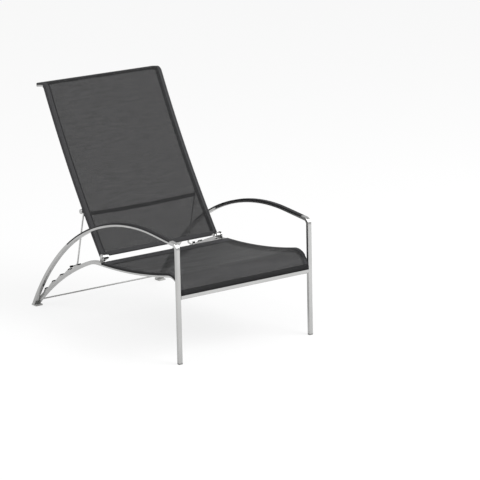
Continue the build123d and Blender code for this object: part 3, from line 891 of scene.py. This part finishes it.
class ARMCHAIR_OT_back_cloth(bpy.types.Operator):
    """Pull the back cloth over its two rails as a sleeve on each side"""

    bl_idname = "armchair.back_cloth"
    bl_label = "Pull the back cloth over its rails"

    def execute(self, context):
        cloth = settings("cloth")
        share = cloth.openness
        single = woven("back mesh cloth", share, 1.0, BACK_STREAKS, streak=0.22)
        rear = woven("back mesh cloth rear", share, 1.0, BACK_STREAKS, streak=0.22, rear=True)
        # The doubled hems are a darker copy of the cloth: painted shade
        doubled = woven(
            "back doubled mesh cloth with painted shade", 0.0, DOUBLED_PAINTED_SHADE, BACK_HEM_STREAKS, streak=0.07
        )
        stations = self.stations()
        half = cloth.thickness / 2
        section = self.section(cloth, half)
        rows = []
        for along in stations:
            row = []
            for x, depth, around in section:
                row.append(((x, *back_place(along, depth)), (around, along)))
            rows.append(row)

        def keep(j, i):
            middle = (stations[j] + stations[j + 1]) / 2
            x = abs(section[i][0] + section[i + 1][0]) / 2
            depth = (section[i][1] + section[i + 1][1]) / 2
            inside = x < BACK_RAIL[0]
            behind = depth > half * 1.5
            at_ear = depth > EAR_DEPTH and EAR[0] - PLAY < x < EAR[1] + PLAY
            if at_ear and within(middle, EAR_OPENING):
                return False
            if middle < CLOTH_START and (x > LOW_EDGE_HALF or behind):
                return False
            if middle > SLEEVE_END and (behind if inside else depth > TIP_COVER):
                return False
            at_bar = within(middle, LOWER_BAR_OPENING) or within(middle, TOP_BAR_OPENING)
            return not (at_bar and inside and behind)

        sheet = thicken(grid("back_cloth_sheet", rows, keep), cloth.thickness, single, rear)
        # Painted light: a lighter copy of the cloth where it lies on the rails and at its lower edge
        painted_light_on_steel = woven(
            "back mesh cloth with painted light on the rails", 0.0, ON_STEEL_PAINTED_LIGHT, BACK_HEM_STREAKS, streak=0.07
        )
        rail = BACK_RAIL[0] + RAIL_MARGIN
        paint_light_on_steel(sheet, rail, CLOTH_START + LOW_COVER, BACK_END, painted_light_on_steel)
        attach(sheet, "backrest")
        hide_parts("back_cloth")
        hem_width = BACK_HEM_SHARE * cloth.hem
        for name, low, high in (
            ("back_lower_hem", LOW_EDGE, LOW_EDGE + hem_width),
            ("back_top_hem", BACK_END - hem_width, BACK_END),
        ):
            hem = self.hem(name, cloth, low, high, doubled)
            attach(hem, "backrest")
        return {"FINISHED"}

    def stations(self, clearance=0.002):
        """Distances of the rows along the back, with a row at each end of each opening."""
        marks = ends(EAR_OPENING) + ends(LOWER_BAR_OPENING) + ends(TOP_BAR_OPENING)
        steps = [LOW_EDGE]
        steps += evenly(CLOTH_START, BACK_LENGTH, 60)
        steps += evenly(BACK_LENGTH, ROLL_END, 14)[1:]
        steps += evenly(ROLL_END, BACK_END, 5)[1:]
        clear = [step for step in steps if all(abs(step - mark) > clearance for mark in marks)]
        return in_order(clear + marks)

    def section(self, cloth, half):
        """Flap, sleeve, sheet, sleeve and flap across the back: x, depth and running width."""
        seam = BACK_RAIL[0] - PLAY - half
        outer = BACK_HALF - half
        rear = SLEEVE_DEPTH - half
        corner = SLEEVE_CORNER
        turns = evenly(0, pi / 2, 4)
        side = [
            (seam - cloth.flap, half + cloth.thickness * FLAP_MIDDLE),
            (seam - cloth.flap * 0.5, half + cloth.thickness * FLAP_MIDDLE),
            (seam - FOLD_WIDTH, half + cloth.thickness * FOLD_START),
            (seam, half + cloth.thickness * FOLD_END),
            (seam, (half + rear) / 2),
        ]
        for turn in turns:
            side.append((seam + corner - corner * cos(turn), rear - corner + corner * sin(turn)))
        side.append((EAR[0] - PLAY, rear))
        side.append((EAR[1] + PLAY - EAR_CORNER_GAP, rear))
        for turn in turns:
            side.append((outer - corner + corner * sin(turn), rear - corner + corner * cos(turn)))
        side.append((outer, (half + rear) / 2))
        for turn in turns:
            side.append((outer - corner + corner * cos(turn), half + corner - corner * sin(turn)))
        inner = outer - corner
        line = [(-x, depth) for x, depth in side]
        line += [(x, half) for x in evenly(-inner, inner, 40)[1:-1]]
        line += reversed(side)
        run = lengths(line)
        return [(x, depth, r - run[-1] / 2) for (x, depth), r in zip(line, run)]

    def hem(self, name, cloth, low, high, material):
        """Turned-back hem behind the sheet, between the two sleeves."""
        reach = BACK_RAIL[0] - PLAY - cloth.thickness - cloth.flap - BACK_HEM_GAP
        depth = cloth.thickness * BACK_HEM_MIDDLE
        rows = [
            [((x, *back_place(along, depth)), (x, along)) for x in evenly(-reach, reach, 30)]
            for along in evenly(low, high, 8)
        ]
        return thicken(grid(name, rows), cloth.thickness, material)


# Stitches


def stitch_sizes():
    """Sizes that the stitches take from the chair's values."""
    sizes = settings("stitches")
    return {"Pitch": sizes.pitch, "Length": sizes.length, "Thread": sizes.thread}


def stitch_tree(material):
    """Node tree that lays short threads along a curve."""
    tree = bpy.data.node_groups.new("stitches along a seam", "GeometryNodeTree")
    face = tree.interface
    face.new_socket("Seam", in_out="INPUT", socket_type="NodeSocketGeometry")
    for name, value in stitch_sizes().items():
        socket = face.new_socket(name, in_out="INPUT", socket_type="NodeSocketFloat")
        socket.subtype = "DISTANCE"
        socket.default_value = value
        socket.min_value = 0.0001
    face.new_socket("Stitches", in_out="OUTPUT", socket_type="NodeSocketGeometry")
    nodes, links = tree.nodes, tree.links
    start, end = nodes.new("NodeGroupInput"), nodes.new("NodeGroupOutput")
    places = nodes.new("GeometryNodeCurveToPoints")
    places.mode = "LENGTH"
    links.new(start.outputs["Seam"], places.inputs["Curve"])
    links.new(start.outputs["Pitch"], places.inputs["Length"])
    ball = nodes.new("GeometryNodeMeshUVSphere")
    ball.inputs["Segments"].default_value = 6
    ball.inputs["Rings"].default_value = 4
    ball.inputs["Radius"].default_value = 0.5
    size = nodes.new("ShaderNodeCombineXYZ")
    links.new(start.outputs["Thread"], size.inputs["X"])
    links.new(start.outputs["Thread"], size.inputs["Y"])
    links.new(start.outputs["Length"], size.inputs["Z"])
    copies = nodes.new("GeometryNodeInstanceOnPoints")
    links.new(places.outputs["Points"], copies.inputs["Points"])
    links.new(ball.outputs["Mesh"], copies.inputs["Instance"])
    links.new(places.outputs["Rotation"], copies.inputs["Rotation"])
    links.new(size.outputs["Vector"], copies.inputs["Scale"])
    real = nodes.new("GeometryNodeRealizeInstances")
    dressed = nodes.new("GeometryNodeSetMaterial")
    dressed.inputs["Material"].default_value = material
    links.new(copies.outputs["Instances"], real.inputs["Geometry"])
    links.new(real.outputs["Geometry"], dressed.inputs["Geometry"])
    links.new(dressed.outputs["Geometry"], end.inputs["Stitches"])
    return tree


def sew(name, body, seams, tree):
    """One mesh of stitches along several seams, each a list of places."""
    curve = bpy.data.curves.new(name, "CURVE")
    curve.dimensions = "3D"
    for seam in seams:
        spline = curve.splines.new("POLY")
        spline.points.add(len(seam) - 1)
        for point, place in zip(spline.points, seam):
            point.co = (*place, 1)
    holder = bpy.data.objects.new(name + "_line", curve)
    bpy.context.scene.collection.objects.link(holder)
    layer = holder.modifiers.new("stitches", "NODES")
    layer.node_group = tree
    values = stitch_sizes()
    for item in tree.interface.items_tree:
        if item.item_type == "SOCKET" and item.name in values:
            layer[item.identifier] = values[item.name]
    mesh = applied(holder)
    if not mesh.polygons:
        raise RuntimeError(name + " has no stitches")
    made = smooth_object(name, mesh)
    holder.modifiers.remove(layer)
    bpy.data.objects.remove(holder)
    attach(made, body)
    return made


def seat_seam(distance, lift, reach):
    """Line across the seat at a distance along it from its front edge."""
    rows = seat_surface(lift)
    for before, after in zip(rows, rows[1:]):
        a, b = run_of(before), run_of(after)
        if a <= distance <= b:
            share = (distance - a) / (b - a)
            return [
                tuple(p + (q - p) * share for p, q in zip(low[0], high[0]))
                for low, high in zip(before, after)
                if abs(low[0][0]) <= reach
            ]
    raise RuntimeError("no place on the seat at this distance")


class ARMCHAIR_OT_stitches(bpy.types.Operator):
    """Sew the hems and the sleeves"""

    bl_idname = "armchair.stitches"
    bl_label = "Sew the seams"

    def execute(self, context):
        cloth = settings("cloth")
        tree = stitch_tree(thread_material())
        sew("seat_stitches", "frame", self.seat_seams(cloth), tree)
        sew("back_stitches", "backrest", self.back_seams(cloth), tree)
        return {"FINISHED"}

    def seat_seams(self, cloth):
        """Two seams of the front hem and the seam of the rear loop."""
        top = PLAY + HEM_TOP * cloth.thickness
        loop = run_of(seat_surface(PLAY)[-1]) - LOOP_SEAM
        return [
            seat_seam(cloth.hem, top, SEAT_SEAM_HALF),
            seat_seam(cloth.hem - SEAT_SEAM_GAP, top, SEAT_SEAM_HALF),
            seat_seam(loop, PLAY + cloth.thickness, LOOP_SEAM_HALF),
        ]

    def back_seams(self, cloth):
        """A seam down each sleeve and one across each hem."""
        flap = BACK_RAIL[0] - PLAY - cloth.thickness / 2 - cloth.flap / 2
        stitched = evenly(CLOTH_START + SEAM_MARGIN, SLEEVE_END - SEAM_MARGIN, 120)
        seams = [[(x, *back_place(along, 0.0)) for along in stitched] for x in (-flap, flap)]
        reach = BACK_RAIL[0] - cloth.flap - BACK_SEAM_GAP
        low = CLOTH_START + LOW_SEAM_SHARE * cloth.hem
        high = BACK_END - TOP_SEAM_SHARE * cloth.hem
        for along in (low, high):
            seams.append([(x, *back_place(along, 0.0)) for x in evenly(-reach, reach, 20)])
        return seams


class ARMCHAIR_OT_stage(bpy.types.Operator):
    """Floor, soft light and camera"""

    bl_idname = "armchair.stage"
    bl_label = "Set the stage"

    def execute(self, context):
        stage = settings("stage")
        self.floor(stage)
        self.world(stage)
        self.lamp("key lamp", KEY_PLACE, KEY_SIDE, stage.key_power)
        self.lamp("fill lamp", FILL_PLACE, FILL_SIDE, stage.key_power * FILL_SHARE)
        self.camera(context.scene)
        context.scene.view_settings.view_transform = "Standard"
        return {"FINISHED"}

    def camera(self, scene):
        """Camera with a long lens, level with the ground to its left and right."""
        camera = bpy.data.cameras.new("camera")
        camera.lens = CAMERA_LENS
        camera.sensor_width = CAMERA_FILM
        camera.clip_end = CAMERA_REACH
        stand = bpy.data.objects.new("camera", camera)
        scene.collection.objects.link(stand)
        stand.location = CAMERA_PLACE
        stand.rotation_euler = (pi / 2 - CAMERA_ELEVATION, 0, CAMERA_AZIMUTH)
        scene.camera = stand

    def floor(self, stage):
        """Large pale floor that takes the chair's soft shadow."""
        half = stage.floor_size / 2
        floor = mesh_object(
            "floor",
            [(-half, -half, 0), (half, -half, 0), (half, half, 0), (-half, half, 0)],
            [(0, 1, 2, 3)],
        )
        material, nodes, links, shader = new_material("pale floor")
        shader.inputs["Base Color"].default_value = FLOOR_COLOUR
        shader.inputs["Roughness"].default_value = 0.9
        shader.inputs["Specular IOR Level"].default_value = 0.0
        glow = nodes.new("ShaderNodeEmission")
        glow.inputs["Color"].default_value = WHITE
        paths = nodes.new("ShaderNodeLightPath")
        total = None
        for ray, amount in FLOOR_GLOW:
            share = nodes.new("ShaderNodeMath")
            share.operation = "MULTIPLY_ADD"
            share.inputs[1].default_value = amount
            share.inputs[2].default_value = 0.0
            links.new(paths.outputs[ray], share.inputs[0])
            if total:
                links.new(total.outputs[0], share.inputs[2])
            total = share
        self.blend(nodes, links, total.outputs[0], shader, glow, "OUTPUT_MATERIAL")
        floor.data.materials.append(material)

    def world(self, stage):
        """Even pale light, nearly white where the camera sees it."""
        world = bpy.data.worlds.new("studio")
        bpy.context.scene.world = world
        world.use_nodes = True
        nodes, links = world.node_tree.nodes, world.node_tree.links
        light = next(node for node in nodes if node.type == "BACKGROUND")
        light.inputs["Color"].default_value = WHITE
        light.inputs["Strength"].default_value = stage.sky
        seen = nodes.new("ShaderNodeBackground")
        seen.inputs["Color"].default_value = WHITE
        seen.inputs["Strength"].default_value = BACKDROP
        paths = nodes.new("ShaderNodeLightPath")
        self.blend(nodes, links, paths.outputs["Is Camera Ray"], light, seen, "OUTPUT_WORLD")

    def blend(self, nodes, links, share, first, second, output):
        """Blend two shaders by a share into the surface of an output."""
        mix = nodes.new("ShaderNodeMixShader")
        links.new(share, mix.inputs[0])
        links.new(first.outputs[0], mix.inputs[1])
        links.new(second.outputs[0], mix.inputs[2])
        end = next(node for node in nodes if node.type == output)
        links.new(mix.outputs[0], end.inputs["Surface"])

    def lamp(self, name, place, side, power):
        """Square area lamp that faces the chair."""
        light = bpy.data.lights.new(name, "AREA")
        light.shape = "SQUARE"
        light.size = side
        light.energy = power
        lamp = bpy.data.objects.new(name, light)
        lamp.location = place
        aim = Vector(LAMP_AIM) - Vector(place)
        lamp.rotation_euler = aim.to_track_quat("-Z", "Y").to_euler()
        bpy.context.scene.collection.objects.link(lamp)


OPERATORS = (
    ARMCHAIR_OT_steel,
    ARMCHAIR_OT_fittings,
    ARMCHAIR_OT_black_plastic,
    ARMCHAIR_OT_glides,
    ARMCHAIR_OT_seat_cloth,
    ARMCHAIR_OT_back_cloth,
    ARMCHAIR_OT_stitches,
    ARMCHAIR_OT_stage,
)

GROUPS = {
    "cloth": ClothSettings,
    "stitches": StitchSettings,
    "metal": MetalSettings,
    "plastic": PlasticSettings,
    "stage": StageSettings,
}


class ARMCHAIR_PT_panel(bpy.types.Panel):
    """Steps and values of the armchair"""

    bl_idname = "ARMCHAIR_PT_panel"
    bl_label = "Reclining garden armchair"
    bl_space_type = "VIEW_3D"
    bl_region_type = "UI"
    bl_category = "Armchair"

    def draw(self, context):
        for step in OPERATORS:
            self.layout.operator(step.bl_idname)
        for name, group in GROUPS.items():
            box = self.layout.box()
            for value in group.__annotations__:
                box.prop(getattr(context.scene, "armchair_" + name), value)


def register():
    for group in GROUPS.values():
        bpy.utils.register_class(group)
    for name, group in GROUPS.items():
        setattr(bpy.types.Scene, "armchair_" + name, bpy.props.PointerProperty(type=group))
    for step in OPERATORS:
        bpy.utils.register_class(step)
    bpy.utils.register_class(ARMCHAIR_PT_panel)


def unregister():
    bpy.utils.unregister_class(ARMCHAIR_PT_panel)
    for step in reversed(OPERATORS):
        bpy.utils.unregister_class(step)
    for name, group in GROUPS.items():
        delattr(bpy.types.Scene, "armchair_" + name)
        bpy.utils.unregister_class(group)


def main():
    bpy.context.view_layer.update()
    register()
    for step in OPERATORS:
        family, name = step.bl_idname.split(".")
        getattr(getattr(bpy.ops, family), name)()


if __name__ == "__main__":
    main()
